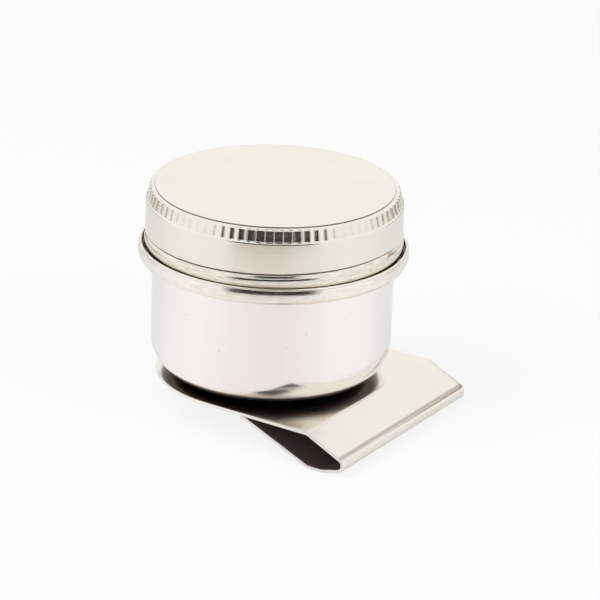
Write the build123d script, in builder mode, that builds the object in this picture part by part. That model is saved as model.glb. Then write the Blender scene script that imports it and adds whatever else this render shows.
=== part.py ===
"""Palette cup: a small steel oil cup with a screw lid, on a folded spring clip for a palette's edge."""

from build123d import *
import math
import os

os.makedirs("parts", exist_ok=True)

# Sheet thicknesses
cup_sheet = 0.4
lid_sheet = 0.4
ring_sheet = 0.5
clip_sheet = 0.6

# Spring clip: seen from the side, the leaf lies flat under the cup and folds back under itself
leaf_half_width = 22.1
leaf_bend_x = 22.9
fold_face_x = 31.15
fold_slope = 25.0
fold_rise = 14.0
fold_split = 4.08
clip_depth = 6.65
heel_x = 23.3
heel_end_x = 26.4
jaw_contact_x = 9.0
lip_length = 1.7
leaf_bend_radius = 1.5
fold_top_radius = 0.7
fold_bottom_radius = 1.2
heel_end_radius = 3.0
heel_bend_radius = 2.0
lip_bend_radius = 1.0
jaw_gap = 0.08
fold_gap = 0.16
jaw_lip_corner = 1.5

# Cup, from the face of the leaf upward
cup_radius = 23.2
cup_corner = 6.8
mouth_bend_radius = 0.45
gutter_height = 22.65
gutter_radius = 26.0
gutter_bend_radius = 1.7
gutter_waist_height = 25.0
gutter_waist_bend = 3.0
gutter_lip_lean = 0.28
gutter_lip_height = 26.25
gutter_lip_thickness = 0.56

# Neck ring: its foot is pressed into the cup's mouth, and a joggle carries it out over the gutter
ring_foot_radius = 22.8
ring_foot_height = 18.0
ring_joggle_height = 23.15
ring_joggle_rise = 0.6
ring_joggle_bend = 0.5
ring_radius = 23.3
ring_rim_height = 36.05
ring_bead = 0.45

# Lid: radii and heights are to the middle of its sheet, which is one bent line in section
lid_top_height = 37.35
lid_flat_radius = 22.95
lid_bevel_radius = 23.7
lid_bevel_height = 37.16
lid_bevel_bend = 0.4
lid_edge_bend = 0.3
band_foot_radius = 24.27
band_foot_height = 34.92
band_foot_bend = 0.3
lid_skirt_radius = 24.44
lid_skirt_height = 34.72
crease_height = 28.45
crease_radius = 23.85
crease_rise = 0.5
crease_drop = 0.65
crease_bend = 0.35
shoulder_bend = 0.7
curl_radius = 24.6
curl_height = 25.65
curl_width = 0.5
curl_bend = 0.24
curl_return = 1.15
flute_count = 90
flute_radius = 3.0
flute_depth = 0.1
flute_length = 1.9
flute_height = 36.0

# Sealing disc
liner_thickness = 1.0
liner_radius = 23.1
liner_clearance = 0.04
liner_chamfer = 0.6

# The underside of the leaf is z = 0, so the cup stands on the leaf's thickness
base = clip_sheet

# Clip: the middle of the sheet, from the round end to the fold and on to the jaw's lip
leaf_z = clip_sheet / 2
fold_x = fold_face_x - clip_sheet / 2
fold_top_z = leaf_z - (fold_x - leaf_bend_x) * math.tan(math.radians(fold_slope))
heel_z = clip_sheet / 2 - clip_depth
fold_low_z = heel_z + (fold_x - heel_end_x) * math.tan(math.radians(fold_rise))
lip_z = -clip_sheet / 2 - jaw_gap

with BuildPart() as clip_upper_leaf:
    with BuildSketch(Plane.XZ):
        with BuildLine():
            FilletPolyline(
                (-leaf_half_width, leaf_z),
                (leaf_bend_x, leaf_z),
                (fold_x, fold_top_z),
                (fold_x, -fold_split + fold_gap / 2),
                radius=[leaf_bend_radius, fold_top_radius],
            )
        trace(line_width=clip_sheet)
    extrude(amount=leaf_half_width, both=True)
    # Half-round end, on the cup's own axis
    with BuildSketch(Plane.XY.offset(-clip_depth)):
        Circle(leaf_half_width)
        with Locations((fold_face_x / 2, 0)):
            Rectangle(fold_face_x, 2 * leaf_half_width)
    extrude(amount=clip_depth + clip_sheet, mode=Mode.INTERSECT)
clip_upper_leaf.part.label = "clip_upper_leaf"

with BuildPart() as clip_lower_leaf:
    with BuildSketch(Plane.XZ):
        with BuildLine():
            FilletPolyline(
                (fold_x, -fold_split - fold_gap / 2),
                (fold_x, fold_low_z),
                (heel_end_x, heel_z),
                (heel_x, heel_z),
                (jaw_contact_x, lip_z),
                (jaw_contact_x - lip_length, lip_z),
                radius=[fold_bottom_radius, heel_end_radius, heel_bend_radius, lip_bend_radius],
            )
        trace(line_width=clip_sheet)
    extrude(amount=leaf_half_width, both=True)
    # Rounded corners on the lip that slides onto the palette
    fillet(clip_lower_leaf.edges().filter_by(Axis.Z).sort_by(Axis.X)[:2], radius=jaw_lip_corner)
clip_lower_leaf.part.label = "clip_lower_leaf"

# Cup: drawn sheet, turned out at the mouth into a gutter whose lip leans in and ends in a hem
wall_r = cup_radius - cup_sheet / 2
floor_z = base + cup_sheet / 2
gutter_z = base + gutter_height + cup_sheet / 2
gutter_r = gutter_radius - cup_sheet / 2
lip_r = gutter_r - gutter_lip_lean
hem_z = base + gutter_lip_height - gutter_lip_thickness / 2

with BuildPart() as cup_body:
    with BuildSketch(Plane.XZ):
        with BuildLine():
            FilletPolyline(
                (0, floor_z),
                (wall_r, floor_z),
                (wall_r, gutter_z),
                (gutter_r, gutter_z),
                (gutter_r, base + gutter_waist_height),
                (lip_r, hem_z),
                radius=[
                    cup_corner - cup_sheet / 2,
                    mouth_bend_radius,
                    gutter_bend_radius,
                    gutter_waist_bend,
                ],
            )
        trace(line_width=cup_sheet)
        with Locations((lip_r, hem_z)):
            Circle(gutter_lip_thickness / 2)
    revolve(axis=Axis.Z)
cup_body.part.label = "cup_body"

# Neck ring: foot, joggle, threaded wall and a rim rolled inward
ring_foot_r = ring_foot_radius - ring_sheet / 2
ring_r = ring_radius - ring_sheet / 2
ring_joggle_z = base + ring_joggle_height
rim_z = base + ring_rim_height - ring_bead

with BuildPart() as neck_ring:
    with BuildSketch(Plane.XZ):
        with BuildLine():
            FilletPolyline(
                (ring_foot_r, base + ring_foot_height),
                (ring_foot_r, ring_joggle_z),
                (ring_r, ring_joggle_z + ring_joggle_rise),
                (ring_r, rim_z),
                radius=[ring_joggle_bend, ring_joggle_bend],
            )
        trace(line_width=ring_sheet)
        with Locations((ring_radius - ring_bead, rim_z)):
            Circle(ring_bead)
    revolve(axis=Axis.Z)
neck_ring.part.label = "neck_ring"

# Lid: bevelled top, leaning band for the flutes, plain skirt, crease, and a bottom edge curled in
lid_top_z = base + lid_top_height
skirt_z = base + lid_skirt_height
crease_z = base + crease_height
curl_z = base + curl_height
curl_in_r = curl_radius - curl_width

with BuildPart() as lid_shell:
    with BuildSketch(Plane.XZ):
        with BuildLine():
            FilletPolyline(
                (0, lid_top_z),
                (lid_flat_radius, lid_top_z),
                (lid_bevel_radius, base + lid_bevel_height),
                (band_foot_radius, base + band_foot_height),
                (lid_skirt_radius, skirt_z),
                (lid_skirt_radius, crease_z + crease_rise),
                (crease_radius, crease_z),
                (curl_radius, crease_z - crease_drop),
                (curl_radius, curl_z),
                (curl_in_r, curl_z),
                (curl_in_r, curl_z + curl_return),
                radius=[
                    lid_bevel_bend,
                    lid_edge_bend,
                    band_foot_bend,
                    band_foot_bend,
                    crease_bend,
                    crease_bend,
                    shoulder_bend,
                    curl_bend,
                    curl_bend,
                ],
            )
        trace(line_width=lid_sheet)
    revolve(axis=Axis.Z)
    # Flutes: shallow scallops that lean with the band and stop short of its two edges
    band_rise = lid_bevel_height - band_foot_height
    band_lean = math.atan2(band_foot_radius - lid_bevel_radius, band_rise)
    flute_r = band_foot_radius - (flute_height - band_foot_height) * math.tan(band_lean)
    axis_offset = lid_sheet / 2 - flute_depth + flute_radius
    flute_axis_r = flute_r + axis_offset * math.cos(band_lean)
    flute_axis_z = base + flute_height + axis_offset * math.sin(band_lean)
    with PolarLocations(flute_axis_r, flute_count):
        with Locations(Location((0, 0, flute_axis_z), (0, -math.degrees(band_lean), 0))):
            Cylinder(flute_radius, flute_length, mode=Mode.SUBTRACT)
lid_shell.part.label = "lid_shell"

# Sealing disc, loose under the lid's top
liner_z = lid_top_z - lid_sheet / 2 - liner_clearance - liner_thickness

with BuildPart() as lid_liner:
    with BuildSketch(Plane.XY.offset(liner_z)):
        Circle(liner_radius)
    extrude(amount=liner_thickness)
    chamfer(lid_liner.edges().group_by(Axis.Z)[-1], length=liner_chamfer)
lid_liner.part.label = "lid_liner"

for piece in (clip_upper_leaf, clip_lower_leaf, cup_body, neck_ring, lid_shell, lid_liner):
    export_step(piece.part, f"parts/{piece.part.label}.step")
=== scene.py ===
"""Palette cup: a small steel oil cup with a screw lid, on a folded spring clip for a palette's edge."""

import math
from collections import namedtuple

import bmesh
import bpy
from mathutils import Matrix, Vector


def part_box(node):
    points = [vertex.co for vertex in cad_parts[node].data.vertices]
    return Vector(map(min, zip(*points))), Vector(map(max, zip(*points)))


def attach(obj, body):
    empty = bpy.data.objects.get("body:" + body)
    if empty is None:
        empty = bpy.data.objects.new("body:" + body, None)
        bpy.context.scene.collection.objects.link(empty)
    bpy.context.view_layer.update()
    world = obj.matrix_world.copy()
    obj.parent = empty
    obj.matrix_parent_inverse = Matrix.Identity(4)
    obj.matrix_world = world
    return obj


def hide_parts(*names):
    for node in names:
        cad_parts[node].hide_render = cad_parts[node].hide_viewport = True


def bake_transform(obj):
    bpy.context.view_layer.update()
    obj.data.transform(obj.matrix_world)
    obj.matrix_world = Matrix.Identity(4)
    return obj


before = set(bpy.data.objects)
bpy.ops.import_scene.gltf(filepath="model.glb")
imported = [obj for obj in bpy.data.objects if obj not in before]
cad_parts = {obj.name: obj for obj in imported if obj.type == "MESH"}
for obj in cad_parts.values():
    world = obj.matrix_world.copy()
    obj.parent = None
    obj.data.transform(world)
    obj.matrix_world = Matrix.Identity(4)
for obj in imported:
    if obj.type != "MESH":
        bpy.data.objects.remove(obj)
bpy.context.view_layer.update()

# Sizes are in millimetres and become metres when a mesh is made
MM = 0.001

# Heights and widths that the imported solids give
lid_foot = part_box("lid_shell")[0].z / MM
lid_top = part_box("lid_shell")[1].z / MM
gutter_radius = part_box("cup_body")[1].x / MM
gutter_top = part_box("cup_body")[1].z / MM
ring_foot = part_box("neck_ring")[0].z / MM
ring_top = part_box("neck_ring")[1].z / MM
ring_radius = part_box("neck_ring")[1].x / MM
clip_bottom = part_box("clip_lower_leaf")[0].z / MM
jaw_end_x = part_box("clip_lower_leaf")[0].x / MM
jaw_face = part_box("clip_lower_leaf")[1].z / MM
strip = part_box("clip_upper_leaf")[1].z / MM
strip_half_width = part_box("clip_upper_leaf")[1].y / MM
fold_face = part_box("clip_upper_leaf")[1].x / MM

# Sheet thicknesses
lid_sheet = 0.4
cup_sheet = 0.4
ring_sheet = 0.5

# The side of the cup that faces the photo's camera, as an angle from +X
front_angle = math.radians(-57.1)

# Lid: radii and heights are to the middle of its sheet
plain_top_radius = 18.0
bevel_radius = 23.70
bevel_drop = 0.03
bevel_bend = 0.30
band_foot_radius = 24.22
band_foot_height = 35.55
band_foot_bend = 0.22
skirt_top_radius = 24.41
skirt_top_height = 35.22
skirt_top_bend = 0.25
skirt_high_radius = 24.45
skirt_high = 33.40
skirt_low_radius = 24.483
skirt_low = 30.20
shoulder_radius = 24.50
shoulder_height = 28.55
shoulder_bend = 0.60
shoulder_foot_height = 28.10
shoulder_foot_bend = 0.80
curl_radius = 24.65
curl_bend = 0.24
curl_in_radius = 24.12
curl_end_height = 27.35

# The fine step round the lid's top: whole down to one depth below it, and gone at the other
top_step_radius = 22.97
top_step_width = 0.05
top_step_drop = 0.14
top_step_whole = 0.8
top_step_gone = 1.8

# Flutes in the lid's band, with a crest this many degrees from the front
flute_count = 90
steps_per_flute = 6
flute_front = 0.1
flute_crowding = 0.35
flute_depth = 0.135
flute_top = lid_top - 0.16
flute_foot = 35.40
flute_run_out = 0.15

# Thread groove: its heights are where it passes the front, and its turns are degrees from there
thread_lead = 2.3
groove_foot = 28.45
groove_floor = 29.12
groove_floor_width = 0.1
groove_roof = 29.48
groove_depth = 0.44
groove_start = -192.0
groove_end = 74.0
groove_fade = 26.0
# Height and half width of the dark line painted as shade along the groove
groove_shade_height = 29.22
groove_shade_half_width = 0.28
burnish_top = 29.9
burnish_fade = 0.7

# The lid's rows climb with the thread between low and high, and lie level below foot and above top
climb_foot = 26.7
climb_low = 27.7
climb_high = 30.0
climb_top = 33.0

# Nothing is pressed into the lid inside this radius
pressed_radius = 22.0

# Sealing disc: the corners of its chamfered top, each so far in from the rim and down from the top,
# and of its underside with the neck's mark, each so far in from the rim and up from the underside
liner_steps = 180
liner_top_corners = [(0.65, 0), (0.55, 0.04), (0.04, 0.55), (0, 0.62)]
liner_low_corners = [(0, 0.12), (0.12, 0), (0.20, 0), (0.32, 0.09), (0.78, 0.09), (0.92, 0)]

# Cup: radii are to the outside of its sheet and heights to the middle
cup_steps = 360
cup_radius = 23.2
cup_corner = 6.8
mouth_height = 23.45
mouth_bend = 0.45
gutter_bend = 1.7
gutter_waist_height = 25.60
gutter_waist_bend = 3.0
gutter_lean = 0.28
hem_radius = 0.28
collar_foot = 23.3
# Below this height the cup's underside is painted dark, as shade
underside_shade_top = 3.2

# Neck ring: radii are to the outside of its sheet and heights to the middle
neck_steps = 240
ring_foot_radius = 22.8
joggle_foot = 23.75
joggle_top = 24.35
joggle_bend = 0.5
rim_turn = 0.3
rim_bead = 0.45

# The thread in the close rows of the neck's wall: its height at the front, and turns in degrees
neck_rows_foot = 25.6
neck_rows_top = 33.0
neck_thread_height = 30.3
neck_thread_half_width = 0.75
neck_thread_rise = 0.55
neck_thread_start = -330.0
neck_thread_end = 120.0
neck_thread_fade = 30.0

# Spring clip, seen from the side
leaf_steps = 120
leaf_bend_x = 22.9
leaf_bend = 1.5
fold_slope = math.radians(25)
fold_rise = math.radians(14)
fold_top_bend = 1.1
fold_low_bend = 1.2
seam_x = 28.5
heel_x = 23.3
heel_bend = 2.0
heel_end_x = 26.4
heel_end_bend = 3.0
jaw_contact_x = 9.0
lip_bend = 1.0
jaw_corner = 1.5
inside_fold = Vector((24.5, 0, -3.0))

# The strip's sheared edge: its rounding, and how far in from it the flat face starts
sheared_round = 0.09
sheared_steps = 4
flat_from_edge = 1.2

# Which faces of the rounding show the cut: the share of it they lie in, and how level they may be
cut_face_reach = 0.6
cut_face_tilt = 0.8

# A darker band near the fold, and where the inner side turns brown as painted shade
dark_band_x = 30.35
dark_band_foot = -3.5
fold_shade_start_x = 6.0
fold_shade_full_x = 12.0


# Shader maths


class Wire:
    """A shader output that stands in sums: each operator adds one Math node."""

    def __init__(self, finish, socket):
        self.finish = finish
        self.socket = socket

    def beside(self, output):
        """Another output of the same node."""
        return Wire(self.finish, self.socket.node.outputs[output])

    def __add__(self, other):
        return self.finish.maths("ADD", self, other)

    def __sub__(self, other):
        return self.finish.maths("SUBTRACT", self, other)

    def __rsub__(self, other):
        return self.finish.maths("SUBTRACT", other, self)

    def __mul__(self, other):
        return self.finish.maths("MULTIPLY", self, other)

    def __pow__(self, other):
        return self.finish.maths("POWER", self, other)

    __radd__ = __add__
    __rmul__ = __mul__

    def size(self):
        """The same value without its sign."""
        return self.finish.maths("ABSOLUTE", self)

    def between(self, low, high):
        """0 below low, 1 above high, and a smooth rise between them."""
        settings = {"interpolation_type": "SMOOTHSTEP"}
        return self.finish.node("ShaderNodeMapRange", settings, {0: self, 1: low, 2: high})


class Finish:
    """A material in the making, or the world's light where its kind is given."""

    def __init__(self, name, kind=bpy.data.materials):
        self.material = kind.new(name)
        self.material.use_nodes = True
        self.tree = self.material.node_tree
        self.tree.nodes.clear()

    def node(self, kind, settings=None, inputs=None, output=0):
        """Adds a node of any kind: its settings first, then the values or wires of its sockets."""
        node = self.tree.nodes.new(kind)
        for key, value in (settings or {}).items():
            setattr(node, key, value)
        for key, value in (inputs or {}).items():
            if isinstance(value, Wire):
                self.tree.links.new(value.socket, node.inputs[key])
            else:
                node.inputs[key].default_value = value
        return Wire(self, node.outputs[output]) if node.outputs else None

    def maths(self, operation, first, second=0.0, third=0.0):
        """One Math node on numbers or wires."""
        values = {0: first, 1: second, 2: third}
        return self.node("ShaderNodeMath", {"operation": operation}, values)

    def place(self):
        """Object coordinates, in millimetres."""
        coordinates = self.node("ShaderNodeTexCoord", output="Object")
        inputs = {0: coordinates, 1: (1 / MM, 1 / MM, 1 / MM)}
        return self.node("ShaderNodeVectorMath", {"operation": "MULTIPLY"}, inputs)

    def axes(self, vector):
        """The three numbers of a vector."""
        x = self.node("ShaderNodeSeparateXYZ", inputs={0: vector})
        return x, x.beside("Y"), x.beside("Z")

    def vector(self, x, y, z):
        return self.node("ShaderNodeCombineXYZ", inputs={0: x, 1: y, 2: z})

    def degrees_from_front(self, x, y, low):
        """The angle round the axis from the photo's front, in the turn that starts at low."""
        angle = self.maths("ARCTAN2", y, x) * math.degrees(1) - math.degrees(front_angle)
        return self.maths("WRAP", angle, low + 360, low)

    def noise(self, vector, scale, detail):
        inputs = {"Vector": vector, "Scale": scale, "Detail": detail}
        return self.node("ShaderNodeTexNoise", inputs=inputs)

    def blend(self, amount, below, above):
        """Two colours mixed by amount."""
        settings = {"data_type": "RGBA"}
        return self.node("ShaderNodeMix", settings, {0: amount, 6: below, 7: above}, output=2)

    def bump(self, height, distance, strength):
        """The surface's direction, where a height of 1 stands up by a distance in millimetres."""
        inputs = {"Height": height, "Distance": distance * MM, "Strength": strength}
        return self.node("ShaderNodeBump", inputs=inputs)

    def mix(self, amount, below, above):
        """Two shaders mixed by amount."""
        return self.node("ShaderNodeMixShader", inputs={0: amount, 1: below, 2: above})

    def end(self, shader):
        """Ends the material in a shader."""
        self.node("ShaderNodeOutputMaterial", inputs={"Surface": shader})
        return self.material

    def surface(self, **inputs):
        """Ends the material in a principled surface."""
        names = {key.replace("_", " ").title(): value for key, value in inputs.items()}
        return self.end(self.node("ShaderNodeBsdfPrincipled", inputs=names))


def colour(red, green, blue):
    return (red, green, blue, 1.0)


def from_axis(x, y):
    """The distance from the cup's axis."""
    return (x * x + y * y) ** 0.5


# Finishes

bright_strip = colour(0.84, 0.80, 0.73)


def drawn_cup_steel():
    """Polished cup: upright drawing lines on the wall, a dented collar and painted dark shade on its
    underside.
    """
    steel = Finish("drawn_cup_steel")
    place = steel.place()
    x, y, z = steel.axes(place)
    upright = steel.vector(x, y, z * 0.02)
    lines = steel.noise(upright, 3.2, 3.0)
    bands = steel.noise(upright, 0.13, 2.0)
    collar = z.between(collar_foot, collar_foot + 0.6)
    rolled = steel.noise(steel.vector(x * 0.12, y * 0.12, z), 3.4, 3.0)
    dents = steel.noise(steel.vector(x, y, z * 1.6), 0.75, 2.0)
    pits = steel.noise(place, 1.5, 0.0).between(0.85, 0.89)
    # The cup's underside is painted dark below this height, as shade
    underside_shade = 1 - z.between(underside_shade_top - 1.0, underside_shade_top)
    wall = steel.blend(bands, colour(0.92, 0.875, 0.855), colour(0.98, 0.935, 0.915))
    ring = steel.blend(rolled.between(0.3, 0.75), colour(0.86, 0.81, 0.74), colour(0.97, 0.93, 0.87))
    tone = steel.blend(collar, wall, ring)
    marked = steel.blend(pits * 0.6, tone, colour(0.25, 0.22, 0.2))
    return steel.surface(
        base_color=steel.blend(underside_shade, marked, colour(0.09, 0.075, 0.07)),
        metallic=1.0,
        roughness=0.11 + lines * 0.10 + pits * 0.2 + collar * rolled * 0.08,
        normal=steel.bump(lines * 0.4 + collar * dents * 4.0 - pits * 0.7, 0.012, 0.35),
    )


def lid_steel():
    """Satin lid: turned rings, worn flute crests, dark shade painted in the thread groove and round the
    top step, and a warm cast.
    """
    steel = Finish("satin_lid_steel")
    place = steel.place()
    x, y, z = steel.axes(place)
    radius = from_axis(x, y)
    rings = steel.noise(steel.vector(radius, 0.0, z), 7.0, 2.0)
    clouds = steel.noise(place, 0.12, 3.0)
    scuffs = steel.noise(steel.vector(x * 0.2, y, z), 2.6, 4.0).between(0.58, 0.74)
    streaks = steel.noise(steel.vector(x * 0.1, y * 0.1, z), 4.0, 3.0).between(0.42, 0.66)
    rolled = streaks * (1 - z.between(burnish_top - burnish_fade, burnish_top))
    flutes = (steel.degrees_from_front(x, y, 0.0) - flute_front) * (flute_count / 360)
    from_crest = steel.maths("PINGPONG", flutes, 0.5)
    above_foot = z.between(flute_foot - 0.1, flute_foot + 0.2)
    below_edge = 1 - z.between(lid_top - 0.35, lid_top - 0.15)
    crests = (1 - from_crest.between(0.03, 0.1)) * above_foot * below_edge
    turn = steel.degrees_from_front(x, y, groove_start)
    above_groove = z - turn * (thread_lead / 360) - groove_shade_height
    # Dark lines painted as shade: along the thread groove, and round the fine step on the top
    groove_shade = 1 - above_groove.size().between(groove_shade_half_width * 0.4, groove_shade_half_width)
    run_in = turn.between(groove_start, groove_start + groove_fade)
    run_out = 1 - turn.between(groove_end - groove_fade, groove_end)
    step_shade = 1 - (radius - top_step_radius).size().between(0.02, 0.06)
    on_top = z.between(lid_top - 0.35, lid_top - 0.25)
    painted_line_shade = groove_shade * run_in * run_out + step_shade * on_top * 0.85
    tone = steel.blend(clouds, colour(0.84, 0.805, 0.73), colour(0.90, 0.87, 0.79))
    burnished = steel.blend(rolled * 0.6, tone, colour(0.62, 0.55, 0.45))
    return steel.surface(
        base_color=steel.blend(painted_line_shade, burnished, colour(0.10, 0.07, 0.06)),
        metallic=1.0,
        roughness=0.16 + clouds * 0.06 + scuffs * 0.07 + crests * 0.3,
        normal=steel.bump(rings + scuffs * 0.3, 0.004, 0.25),
    )


def neck_steel():
    """Tinned neck ring: duller than the cup, with rings left by the rolling."""
    steel = Finish("rolled_neck_steel")
    place = steel.place()
    height = steel.axes(place)[2]
    rings = steel.noise(steel.vector(0.0, 0.0, height), 6.0, 2.0)
    clouds = steel.noise(place, 0.3, 3.0)
    return steel.surface(
        base_color=steel.blend(clouds, colour(0.62, 0.60, 0.57), colour(0.74, 0.72, 0.69)),
        metallic=1.0,
        roughness=0.2 + clouds * 0.15,
        normal=steel.bump(rings, 0.006, 0.3),
    )


def rolling_grain(steel, x, y, z):
    """Fine lines along the strip's length."""
    return steel.noise(steel.vector(x * 0.03, y, z * 0.03), 4.5, 3.0)


def spring_strip_steel():
    """Spring strip: rolling grain along it, a darker band beside the fold and a warm cast."""
    steel = Finish("spring_strip_steel")
    place = steel.place()
    x, y, z = steel.axes(place)
    grain = rolling_grain(steel, x, y, z)
    clouds = steel.noise(place, 0.15, 2.0)
    tone = steel.blend(clouds, bright_strip, colour(0.90, 0.86, 0.79))
    # A darker band along the strip beside the fold
    across_dark_band = 1 - (x - dark_band_x).size().between(0.05, 0.6)
    dark_band = across_dark_band * z.between(dark_band_foot, dark_band_foot + 0.3)
    return steel.surface(
        base_color=steel.blend(dark_band * 0.8, tone, colour(0.45, 0.38, 0.32)),
        metallic=1.0,
        roughness=0.13 + grain * 0.10,
        normal=steel.bump(grain, 0.008, 0.3),
    )


def inner_strip_steel():
    """The strip's inner side: bright under the cup, and dull inside the fold with painted brown shade and
    stains.
    """
    steel = Finish("inner_strip_steel")
    place = steel.place()
    x, y, z = steel.axes(place)
    grain = rolling_grain(steel, x, y, z)
    stains = steel.noise(place, 0.4, 3.0)
    # Inside the fold the inner side is painted brown and darker, as shade
    inside = x.between(fold_shade_start_x, fold_shade_full_x)
    painted_brown_shade = steel.blend(stains, colour(0.50, 0.43, 0.41), colour(0.66, 0.58, 0.55))
    return steel.surface(
        base_color=steel.blend(inside, bright_strip, painted_brown_shade),
        metallic=1.0,
        roughness=0.18 + inside * 0.24 + grain * 0.08,
        normal=steel.bump(grain, 0.008, 0.3),
    )


def sheared_edge_steel():
    """The strip's cut edge: brighter and rougher than its faces."""
    steel = Finish("sheared_edge_steel")
    x, y, z = steel.axes(steel.place())
    tears = steel.noise(steel.vector(x, y, z * 0.2), 5.0, 2.0)
    return steel.surface(
        base_color=steel.blend(tears, colour(0.84, 0.82, 0.78), colour(0.92, 0.90, 0.87)),
        metallic=1.0,
        roughness=0.24 + tears * 0.14,
        normal=steel.bump(tears, 0.01, 0.4),
    )


def liner_rubber():
    """Matt black sealing rubber with a dusty bloom."""
    rubber = Finish("liner_rubber")
    place = rubber.place()
    bloom = rubber.noise(place, 0.5, 4.0)
    grains = rubber.noise(place, 9.0, 2.0)
    return rubber.surface(
        base_color=rubber.blend(bloom, colour(0.045, 0.044, 0.042), colour(0.11, 0.105, 0.10)),
        roughness=0.62 + bloom * 0.2,
        normal=rubber.bump(grains, 0.02, 0.4),
    )


# Sheet metal shapes

# A corner of a bent line: its place, the radius of its bend and the spans of the run that leads to it
Corner = namedtuple("Corner", "across up bend spans", defaults=(0.0, 1))

# A run starts and ends with a short span, so that the shading of a bend stays off the flat
bend_margin = 0.12

arc_step = math.radians(15)
strip_arc_step = math.radians(6)
sectors = 10
weld_distance = 0.002 * MM

# A free end is rounded nearly half way, and a rolled bead turns until it meets its sheet
end_steps = 10
end_reach = math.radians(78)
bead_reach = math.radians(125)


def left_of(direction):
    return Vector((-direction.y, direction.x))


def turned(vector, angle):
    return Matrix.Rotation(angle, 2) @ vector


def bends(corners):
    """Each corner of a bent line as its arc: (start, centre, turn), with no centre where it is sharp."""
    arcs = []
    places = [Vector((corner.across, corner.up)) for corner in corners]
    for index, corner in enumerate(corners):
        if corner.bend == 0:
            arcs.append((places[index], None, 0.0))
            continue
        ahead = (places[index] - places[index - 1]).normalized()
        beyond = (places[index + 1] - places[index]).normalized()
        turn = math.atan2(ahead.x * beyond.y - ahead.y * beyond.x, ahead.dot(beyond))
        start = places[index] - ahead * corner.bend * math.tan(abs(turn) / 2)
        centre = start + left_of(ahead) * math.copysign(corner.bend, turn)
        arcs.append((start, centre, turn))
    return arcs


def bent_line(corners):
    """The middle line of a bent sheet as (point, left side) pairs."""
    line = []
    arcs = bends(corners)
    for corner, (start, centre, turn) in zip(corners, arcs):
        if line:
            last = line[-1][0]
            run = start - last
            side = left_of(run.normalized())
            margin = min(bend_margin, run.length / corner.spans / 4)
            stops = [last + run * span / corner.spans for span in range(1, corner.spans)]
            close = run.normalized() * margin
            line[-1] = (last, side)
            line += [(stop, side) for stop in [last + close, *stops, start - close, start]]
        else:
            line.append((start, None))
        if centre:
            steps = max(2, math.ceil(abs(turn) / arc_step))
            side = line[-1][1]
            spoke = start - centre
            for step in range(1, steps + 1):
                angle = turn * step / steps
                line.append((centre + turned(spoke, angle), turned(side, angle)))
    return line


def round_end(point, side, radius, reach):
    """An arc round a line's end, from its right side to its left, that reaches so far each way."""
    ahead = Vector((side.y, -side.x))
    angles = [reach * (2 * step / end_steps - 1) for step in range(end_steps + 1)]
    return [point + turned(ahead, angle) * radius for angle in angles]


def sheet_outline(line, sheet, bead=None, press=None):
    """Both sides of a sheet round its middle line, with a bead at its last end where one is given.

    The press moves the points of its outer side.
    """
    left = [point + side * sheet / 2 for point, side in line]
    if press:
        left = [press(point) for point in left]
    right = [point - side * sheet / 2 for point, side in line]
    point, side = line[-1]
    if bead:
        last_end = round_end(point, side, bead, bead_reach)
    else:
        last_end = round_end(point, side, sheet / 2, end_reach)
    outline = right + last_end + left[::-1]
    point, side = line[0]
    if point.x > 0:
        outline += round_end(point, -side, sheet / 2, end_reach)
    return outline


def spin(mesh, geom, angle, steps, centre=(0, 0, 0), axis=(0, 0, 1), copies=False):
    """Sweeps or copies geometry round an axis and returns what the last step made."""
    made = bmesh.ops.spin(
        mesh,
        geom=geom,
        cent=centre,
        axis=axis,
        dvec=(0, 0, 0),
        angle=angle,
        steps=steps,
        use_merge=False,
        use_normal_flip=False,
        use_duplicate=copies,
    )
    return made["geom_last"]


def spun(outline, steps):
    """An outline turned once round the axis: one sector of the turn, then its copies.

    An outline that starts on the axis ends there, and any other is closed to a loop.
    """
    mesh = bmesh.new()
    points = [mesh.verts.new((point.x * MM, 0, point.y * MM)) for point in outline]
    edges = [mesh.edges.new(pair) for pair in zip(points, points[1:])]
    if outline[0].x > 0:
        edges.append(mesh.edges.new((points[-1], points[0])))
    sector = math.tau / sectors
    spin(mesh, points + edges, sector, steps // sectors)
    spin(mesh, [*mesh.verts, *mesh.edges, *mesh.faces], math.tau - sector, sectors - 1, copies=True)
    close_up(mesh)
    return mesh


def weld(mesh, verts):
    bmesh.ops.remove_doubles(mesh, verts=verts, dist=weld_distance)


def close_up(mesh):
    """Welds a mesh's seams and turns its faces outwards."""
    weld(mesh, mesh.verts)
    bmesh.ops.recalc_face_normals(mesh, faces=mesh.faces)


def add_piece(name, mesh, materials):
    """A smooth object of a finished mesh, at the origin."""
    data = bpy.data.meshes.new(name)
    for face in mesh.faces:
        face.smooth = True
    mesh.to_mesh(data)
    mesh.free()
    for material in materials:
        data.materials.append(material)
    piece = bpy.data.objects.new(name, data)
    bpy.context.scene.collection.objects.link(piece)
    return piece


def smooth_step(value, low, high):
    share = min(1.0, max(0.0, (value - low) / (high - low)))
    return share * share * (3 - 2 * share)


def wrapped(angle, low):
    """The same angle, in degrees, in the turn that starts at low."""
    return (angle - low) % 360 + low


# Lid


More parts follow.
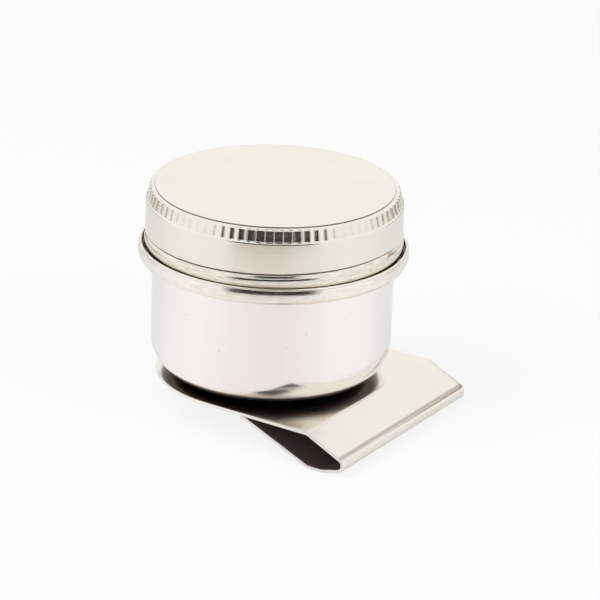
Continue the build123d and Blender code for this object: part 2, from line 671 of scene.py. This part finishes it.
def lid_corners():
    """The lid's section without its flutes and thread: top, bevel, band, skirt, shoulder and curl."""
    top = lid_top - lid_sheet / 2
    curl = lid_foot + lid_sheet / 2
    return [
        Corner(0, top),
        Corner(plain_top_radius, top),
        Corner(top_step_radius - top_step_width / 2, top),
        Corner(top_step_radius + top_step_width / 2, top),
        Corner(bevel_radius, top - bevel_drop, bevel_bend),
        Corner(band_foot_radius, band_foot_height, band_foot_bend, spans=4),
        Corner(skirt_top_radius, skirt_top_height, skirt_top_bend),
        Corner(skirt_high_radius, skirt_high),
        Corner(skirt_low_radius, skirt_low),
        Corner(shoulder_radius, shoulder_height, shoulder_bend, spans=15),
        Corner(curl_radius, shoulder_foot_height, shoulder_foot_bend),
        Corner(curl_radius, curl, curl_bend, spans=2),
        Corner(curl_in_radius, curl, curl_bend),
        Corner(curl_in_radius, curl_end_height),
    ]


def step_down(point):
    """Presses the outer skin down outside the fine step that runs round the lid's top."""
    beyond = point.x > top_step_radius
    near_top = smooth_step(point.y, lid_top - top_step_gone, lid_top - top_step_whole)
    return point - Vector((0, top_step_drop * beyond * near_top))


def flute_press(share, height):
    """How far the flutes press the band in. The share runs from one crest to the next."""
    scallop = 1 - (2 * share - 1) ** 2
    low = smooth_step(height, flute_foot, flute_foot + flute_run_out)
    high = 1 - smooth_step(height, flute_top - flute_run_out, flute_top)
    return flute_depth * scallop * low * high


def groove_press(turn, height):
    """How far the thread groove presses in: a slanting floor, a steep roof and its two run-outs."""
    if not groove_foot < height < groove_roof:
        return 0.0
    floor = smooth_step(height, groove_foot, groove_floor)
    roof = 1 - smooth_step(height, groove_floor + groove_floor_width, groove_roof)
    run_in = smooth_step(turn, groove_start, groove_start + groove_fade)
    run_out = 1 - smooth_step(turn, groove_end - groove_fade, groove_end)
    return groove_depth * floor * roof * run_in * run_out


def helix_shift(turn):
    """How far the thread has climbed at this turn, eased back down where it has run out."""
    climb = thread_lead * turn / 360
    if turn < groove_end:
        return climb
    share = smooth_step(turn, groove_end, groove_start + 360)
    return climb + (thread_lead * (turn - 360) / 360 - climb) * share


def press_lid(mesh):
    """Presses the flutes and rolls the thread groove into the plain spun lid."""
    for point in mesh.verts:
        radius = math.hypot(point.co.x, point.co.y) / MM
        if radius < pressed_radius:
            continue
        height = point.co.z / MM
        angle = math.degrees(math.atan2(point.co.y, point.co.x) - front_angle)
        flute, share = divmod((angle - flute_front) * flute_count / 360, 1)
        share -= flute_crowding * math.sin(share * math.tau) / math.tau
        turn = wrapped(angle, groove_start)
        radius -= flute_press(share, height) + groove_press(turn, height)
        low = smooth_step(height, climb_foot, climb_low)
        high = 1 - smooth_step(height, climb_high, climb_top)
        height += helix_shift(turn) * low * high
        angle = front_angle + math.radians((flute + share) * 360 / flute_count + flute_front)
        point.co = Vector((radius * math.cos(angle), radius * math.sin(angle), height)) * MM


def lid_shell():
    """One sheet, spun plain and then pressed and rolled."""
    outline = sheet_outline(bent_line(lid_corners()), lid_sheet, press=step_down)
    mesh = spun(outline, flute_count * steps_per_flute)
    press_lid(mesh)
    piece = add_piece("fluted_lid", mesh, [lid_steel()])
    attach(piece, "lid")
    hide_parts("lid_shell")


# Sealing disc


def lid_liner():
    """A disc with a chamfered top and the ring that the neck has pressed into its underside."""
    low, high = (corner.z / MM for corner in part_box("lid_liner"))
    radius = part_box("lid_liner")[1].x / MM
    outline = [Vector((0, high))]
    outline += [Vector((radius - inward, high - down)) for inward, down in liner_top_corners]
    outline += [Vector((radius - inward, low + up)) for inward, up in liner_low_corners]
    outline.append(Vector((0, low)))
    piece = add_piece("sealing_disc", spun(outline, liner_steps), [liner_rubber()])
    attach(piece, "lid_lift")
    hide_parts("lid_liner")


# Cup


def cup_body():
    """One drawn sheet: floor, rounded corner, wall, and the gutter with its hemmed lip."""
    middle = cup_sheet / 2
    floor = strip + middle
    wall = cup_radius - middle
    gutter = gutter_radius - middle
    corners = [
        Corner(0, floor),
        Corner(wall, floor, cup_corner - middle, spans=3),
        Corner(wall, mouth_height, mouth_bend, spans=4),
        Corner(gutter, mouth_height, gutter_bend),
        Corner(gutter, gutter_waist_height, gutter_waist_bend),
        Corner(gutter - gutter_lean, gutter_top - hem_radius),
    ]
    outline = sheet_outline(bent_line(corners), cup_sheet, hem_radius)
    piece = add_piece("drawn_cup", spun(outline, cup_steps), [drawn_cup_steel()])
    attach(piece, "cup")
    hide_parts("cup_body")


# Neck ring


def press_neck(mesh):
    """Rolls the screw thread out of the neck's wall."""
    for point in mesh.verts:
        height = point.co.z / MM
        if not neck_rows_foot < height < neck_rows_top:
            continue
        radius = math.hypot(point.co.x, point.co.y) / MM
        angle = math.degrees(math.atan2(point.co.y, point.co.x) - front_angle)
        rise = 0.0
        for turn in (wrapped(angle, -360), wrapped(angle, 0)):
            centre = neck_thread_height + thread_lead * turn / 360
            share = abs(height - centre) / neck_thread_half_width
            if share < 1:
                starts = smooth_step(turn, neck_thread_start, neck_thread_start + neck_thread_fade)
                ends = 1 - smooth_step(turn, neck_thread_end - neck_thread_fade, neck_thread_end)
                ridge = (1 + math.cos(math.pi * share)) / 2
                rise = max(rise, neck_thread_rise * starts * ends * ridge)
        point.co.x *= 1 + rise / radius
        point.co.y *= 1 + rise / radius


def neck_ring():
    """A foot pressed into the cup, a joggle over the gutter, the threaded wall and a rolled rim."""
    middle = ring_sheet / 2
    foot = ring_foot_radius - middle
    wall = ring_radius - middle
    rim = ring_top - rim_bead
    corners = [
        Corner(foot, ring_foot),
        Corner(foot, joggle_foot, joggle_bend),
        Corner(wall, joggle_top, joggle_bend),
        Corner(wall, neck_rows_foot),
        Corner(wall, neck_rows_top, spans=52),
        Corner(wall, rim - rim_turn),
        Corner(ring_radius - rim_bead, rim),
    ]
    mesh = spun(sheet_outline(bent_line(corners), ring_sheet, rim_bead), neck_steps)
    press_neck(mesh)
    piece = add_piece("threaded_neck", mesh, [neck_steel()])
    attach(piece, "cup")
    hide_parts("neck_ring")


# Spring clip


def strip_edge(mesh, sign):
    """Half the strip's cross-section, square to X, from the middle of its top round one edge."""
    half = strip / 2
    flat = sign * (strip_half_width - flat_from_edge)
    points = [Vector((0, 0, half)), Vector((0, flat, half))]
    for corner, start in ((half - sheared_round, 0), (sheared_round - half, 1)):
        for step in range(sheared_steps + 1):
            angle = math.pi / 2 * (start + step / sheared_steps)
            across = strip_half_width - sheared_round + sheared_round * math.sin(angle)
            up = corner + sheared_round * math.cos(angle)
            points.append(Vector((0, sign * across, up)))
    points += [Vector((0, flat, -half)), Vector((0, 0, -half))]
    verts = [mesh.verts.new(point * MM) for point in points]
    return [mesh.edges.new(pair) for pair in zip(verts, verts[1:])]


def open_rim(mesh):
    return [edge for edge in mesh.edges if len(edge.link_faces) < 2]


def corners_of(edges):
    """The corners of some edges, each once and always in the same order."""
    return list(dict.fromkeys(vert for edge in edges for vert in edge.verts))


def draw_on(mesh, rim, offset):
    """Extrudes the open rim straight by an offset in the XZ plane and returns the new rim."""
    made = bmesh.ops.extrude_edge_only(mesh, edges=rim)["geom"]
    verts = [item for item in made if isinstance(item, bmesh.types.BMVert)]
    bmesh.ops.translate(mesh, verts=verts, vec=(offset.x * MM, 0, offset.y * MM))
    return [edge for edge in made if isinstance(edge, bmesh.types.BMEdge) and edge.is_boundary]


def bend_on(mesh, rim, centre, turn):
    """Spins the open rim about an axis across the strip and returns the new rim."""
    steps = max(3, math.ceil(abs(turn) / strip_arc_step))
    place = (centre.x * MM, 0, centre.y * MM)
    made = spin(mesh, corners_of(rim) + rim, turn, steps, place, (0, -1, 0))
    return [item for item in made if isinstance(item, bmesh.types.BMEdge)]


def follow(mesh, rim, corners):
    """Draws the strip's open rim along a bent line."""
    arcs = bends(corners)
    here = arcs[0][0]
    for corner, (start, centre, turn) in zip(corners[1:], arcs[1:]):
        run = start - here
        margin = min(bend_margin, run.length / 4)
        lengths = [margin, *[(run.length - 2 * margin) / corner.spans] * corner.spans, margin]
        for length in lengths:
            rim = draw_on(mesh, rim, run.normalized() * length)
        here = start
        if centre:
            rim = bend_on(mesh, rim, centre, turn)
            here = centre + turned(start - centre, turn)


def cross_section(mesh, corner, angle):
    """The rim of the strip's whole cross-section, at a corner of its line and square to an angle."""
    edges = strip_edge(mesh, 1) + strip_edge(mesh, -1)
    weld(mesh, corners_of(edges))
    turn = Matrix.Rotation(-angle, 4, "Y")
    move = Matrix.Translation((corner.across * MM, 0, corner.up * MM))
    bmesh.ops.transform(mesh, matrix=move @ turn, verts=mesh.verts)
    return list(mesh.edges)


def cap(mesh):
    """Closes the strip's open ends with flat faces that leave their neighbours' shading alone."""
    bmesh.ops.holes_fill(mesh, edges=open_rim(mesh), sides=0)
    close_up(mesh)
    for face in mesh.faces:
        if len(face.edges) > 4:
            for edge in face.edges:
                edge.smooth = False


def mark_faces(mesh):
    """Gives the strip's cut edge its second material, and its inner side the third."""
    for face in mesh.faces:
        middle = face.calc_center_median() / MM
        reach = math.hypot(min(middle.x, 0), middle.y)
        inward = inside_fold - Vector((middle.x, 0, middle.z))
        upright = abs(face.normal.z) < cut_face_tilt
        if reach > strip_half_width - cut_face_reach * sheared_round and upright:
            face.material_index = 1
        elif face.normal.dot(inward) > 0:
            face.material_index = 2


def round_lip(mesh):
    """Rounds the two corners of the jaw's lip."""
    for point in mesh.verts:
        into_corner = jaw_corner - (point.co.x / MM - jaw_end_x)
        if into_corner > 0:
            inset = jaw_corner - math.sqrt(max(0.0, jaw_corner**2 - into_corner**2))
            share = smooth_step(abs(point.co.y) / MM, 0, strip_half_width - flat_from_edge)
            point.co.y -= math.copysign(inset * share * MM, point.co.y)


def clip_middle_lines():
    """The strip's middle line as three bent lines: upper leaf, fold and lower leaf."""
    leaf = strip / 2
    fold = fold_face - strip / 2
    heel = clip_bottom + strip / 2
    jaw = jaw_face - strip / 2
    ramp = math.tan(fold_slope)
    rise = math.tan(fold_rise)
    high_seam = Corner(seam_x, leaf - (seam_x - leaf_bend_x) * ramp, spans=2)
    low_seam = Corner(seam_x, heel + (seam_x - heel_end_x) * rise)
    upper = [Corner(0, leaf), Corner(leaf_bend_x, leaf, leaf_bend, spans=4), high_seam]
    folded = [
        high_seam,
        Corner(fold, leaf - (fold - leaf_bend_x) * ramp, fold_top_bend),
        Corner(fold, heel + (fold - heel_end_x) * rise, fold_low_bend, spans=2),
        low_seam,
    ]
    lower = [
        low_seam,
        Corner(heel_end_x, heel, heel_end_bend),
        Corner(heel_x, heel, heel_bend),
        Corner(jaw_contact_x, jaw, lip_bend, spans=4),
        Corner(jaw_end_x, jaw, spans=8),
    ]
    return upper, folded, lower


def clip_upper_leaf(line, materials):
    """The leaf under the cup: half round at one end, then straight to the bend and down the ramp."""
    mesh = bmesh.new()
    edges = strip_edge(mesh, 1)
    spin(mesh, corners_of(edges) + edges, math.pi, leaf_steps)
    weld(mesh, mesh.verts)
    bmesh.ops.translate(mesh, verts=mesh.verts, vec=(0, 0, strip / 2 * MM))
    follow(mesh, open_rim(mesh), line)
    cap(mesh)
    mark_faces(mesh)
    piece = add_piece("clip_leaf", mesh, materials)
    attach(piece, "cup")
    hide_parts("clip_upper_leaf")


def clip_fold(line, materials):
    """The fold between the two leaves."""
    mesh = bmesh.new()
    follow(mesh, cross_section(mesh, line[0], -fold_slope), line)
    cap(mesh)
    mark_faces(mesh)
    piece = add_piece("clip_fold", mesh, materials)
    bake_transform(piece)


def clip_lower_leaf(line, materials):
    """The lower leaf, from the heel up to the lip that presses on the palette."""
    mesh = bmesh.new()
    follow(mesh, cross_section(mesh, line[0], math.pi + fold_rise), line)
    round_lip(mesh)
    cap(mesh)
    mark_faces(mesh)
    piece = add_piece("clip_jaw", mesh, materials)
    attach(piece, "jaw")
    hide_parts("clip_lower_leaf")


def spring_clip():
    """One folded strip as three pieces: leaf, fold and jaw."""
    materials = [spring_strip_steel(), sheared_edge_steel(), inner_strip_steel()]
    upper, folded, lower = clip_middle_lines()
    clip_upper_leaf(upper, materials)
    clip_fold(folded, materials)
    clip_lower_leaf(lower, materials)


# Studio

floor_radius = 3000
floor_gap = 0.02
card_steps = 24
lamp_size = 800

# A curved card that the steel mirrors: its middle and reach are degrees from the front, rightward
Card = namedtuple("Card", "name shade middle reach distance low high")
cards = [
    Card("front_card", colour(0.028, 0.02, 0.019), 0, 36, 70, 22.85, 49.35),
    Card("high_card", colour(0.03, 0.024, 0.024), 1, 33, 300, 370, 2000),
    Card("low_card", colour(0.70, 0.64, 0.575), -9, 27, 112, 0.85, 7.35),
    Card("left_card", colour(0.48, 0.42, 0.35), -125, 28, 100, 20.35, 38.35),
    Card("right_card", colour(0.40, 0.34, 0.28), 125, 28, 100, 20.35, 38.35),
]


def stage_piece(name, mesh, material):
    piece = add_piece(name, mesh, [material])
    return piece


def ray_kinds(finish):
    """Three wires: 1 for camera rays, 1 for glossy rays, and 1 for both of these and transmission rays."""
    camera = finish.node("ShaderNodeLightPath", output="Is Camera Ray")
    glossy = camera.beside("Is Glossy Ray")
    both = finish.maths("MAXIMUM", camera, glossy)
    return camera, glossy, finish.maths("MAXIMUM", both, camera.beside("Is Transmission Ray"))


def floor_finish():
    """Goes white in the camera and in reflections, and keeps the shadow.

    Reflections see it a little pink and darker in front of the object, a painted shadow, brighter beside
    it, painted light, blue behind it and dimmer close to the fold. The camera looks through it from below.
    """
    finish = Finish("pale_floor")
    camera, glossy, seen = ray_kinds(finish)
    from_below = finish.node("ShaderNodeNewGeometry", output="Backfacing")
    x, y = finish.axes(finish.place())[:2]
    aside = finish.degrees_from_front(x, y, -180.0).size()
    close = (1 - from_axis(x, y).between(32, 50)) * x.between(5, 25)
    # In reflections the floor is painted darker in front of the object, as a shadow, and brighter beside
    # it, as light
    front = finish.blend(aside.between(0, 62), colour(0.82, 0.79, 0.785), colour(1, 0.985, 0.98))
    all_round = finish.blend(aside.between(75, 135), front, colour(0.80, 0.82, 0.85))
    shade = finish.blend(glossy, colour(1, 1, 1), all_round)
    plain = finish.node("ShaderNodeBsdfDiffuse", inputs={"Color": colour(0.92, 0.92, 0.92)})
    white = finish.node("ShaderNodeEmission", inputs={"Color": shade})
    mixed = finish.mix(seen * 0.8 - glossy * (0.12 + close * 0.45), plain, white)
    clear = finish.node("ShaderNodeBsdfTransparent")
    return finish.end(finish.mix(camera * from_below, mixed, clear))


def pale_floor():
    """A level floor just under the clip."""
    mesh = bmesh.new()
    bmesh.ops.create_circle(mesh, cap_ends=True, cap_tris=True, segments=96, radius=floor_radius * MM)
    bmesh.ops.translate(mesh, verts=mesh.verts, vec=(0, 0, (clip_bottom - floor_gap) * MM))
    stage_piece("floor", mesh, floor_finish())


def white_world():
    """White to the camera and in reflections, and half as bright where it lights the object."""
    room = Finish("white_room", bpy.data.worlds)
    bpy.context.scene.world = room.material
    seen = ray_kinds(room)[-1]
    inputs = {"Color": colour(1, 1, 1), "Strength": 0.5 + seen * 0.5}
    light = room.node("ShaderNodeBackground", inputs=inputs)
    room.node("ShaderNodeOutputWorld", inputs={"Surface": light})


def card_finish(card):
    """A plain shade that fades out towards the card's two upright ends."""
    finish = Finish(card.name)
    x, y = finish.axes(finish.place())[:2]
    aside = (finish.degrees_from_front(x, y, -180.0) - card.middle).size()
    plain = finish.node("ShaderNodeEmission", inputs={"Color": card.shade})
    clear = finish.node("ShaderNodeBsdfTransparent")
    return finish.end(finish.mix(aside.between(card.reach * 0.7, card.reach), plain, clear))


def reflected_card(card):
    """A card that only reflections see."""
    mesh = bmesh.new()
    start = front_angle + math.radians(card.middle - card.reach)
    foot = Vector((card.distance * math.cos(start), card.distance * math.sin(start), card.low))
    head = foot + Vector((0, 0, card.high - card.low))
    verts = [mesh.verts.new(foot * MM), mesh.verts.new(head * MM)]
    edge = mesh.edges.new(verts)
    spin(mesh, verts + [edge], math.radians(2 * card.reach), card_steps)
    piece = stage_piece(card.name, mesh, card_finish(card))
    piece.visible_camera = False
    piece.visible_diffuse = False
    piece.visible_shadow = False
    piece.visible_transmission = False


def soft_lamp(name, watts, place):
    """A square lamp that faces the cup and shows in no reflection."""
    data = bpy.data.lights.new(name, "AREA")
    data.energy = watts
    data.size = lamp_size * MM
    lamp = bpy.data.objects.new(name, data)
    lamp.location = place * MM
    lamp.rotation_euler = (-place).to_track_quat("-Z", "Y").to_euler()
    lamp.visible_glossy = False
    bpy.context.scene.collection.objects.link(lamp)


def studio():
    white_world()
    pale_floor()
    for card in cards:
        reflected_card(card)
    soft_lamp("key_lamp", 7.0, Vector((-400, -700, 900)))
    soft_lamp("fill_lamp", 3.5, Vector((800, -100, 700)))


# Camera


def photo_camera():
    """The camera that was fitted to the photo, aimed at a point on the cup's axis."""
    azimuth = math.radians(32.88)
    elevation = math.radians(20.99)
    roll = math.radians(1.856)
    pan = math.radians(0.4425)
    tilt = math.radians(0.865)
    distance = 655.4
    aim = Vector((0, 0, 25.15))
    level_reach = math.cos(elevation)
    back = Vector(
        (math.sin(azimuth) * level_reach, -math.cos(azimuth) * level_reach, math.sin(elevation))
    )
    data = bpy.data.cameras.new("camera")
    data.sensor_width = 36
    data.lens = 205.1
    data.clip_start = 10 * MM
    data.clip_end = 20000 * MM
    eye = bpy.data.objects.new("camera", data)
    facing = back.to_track_quat("Z", "Y").to_matrix().to_4x4()
    turns = (
        Matrix.Rotation(roll, 4, "Z")
        @ Matrix.Rotation(-pan, 4, "Y")
        @ Matrix.Rotation(-tilt, 4, "X")
    )
    eye.matrix_world = Matrix.Translation((aim + back * distance) * MM) @ facing @ turns
    bpy.context.scene.collection.objects.link(eye)
    bpy.context.scene.camera = eye


cup_body()
neck_ring()
lid_shell()
lid_liner()
spring_clip()
studio()
photo_camera()
bpy.context.scene.view_settings.view_transform = "Standard"
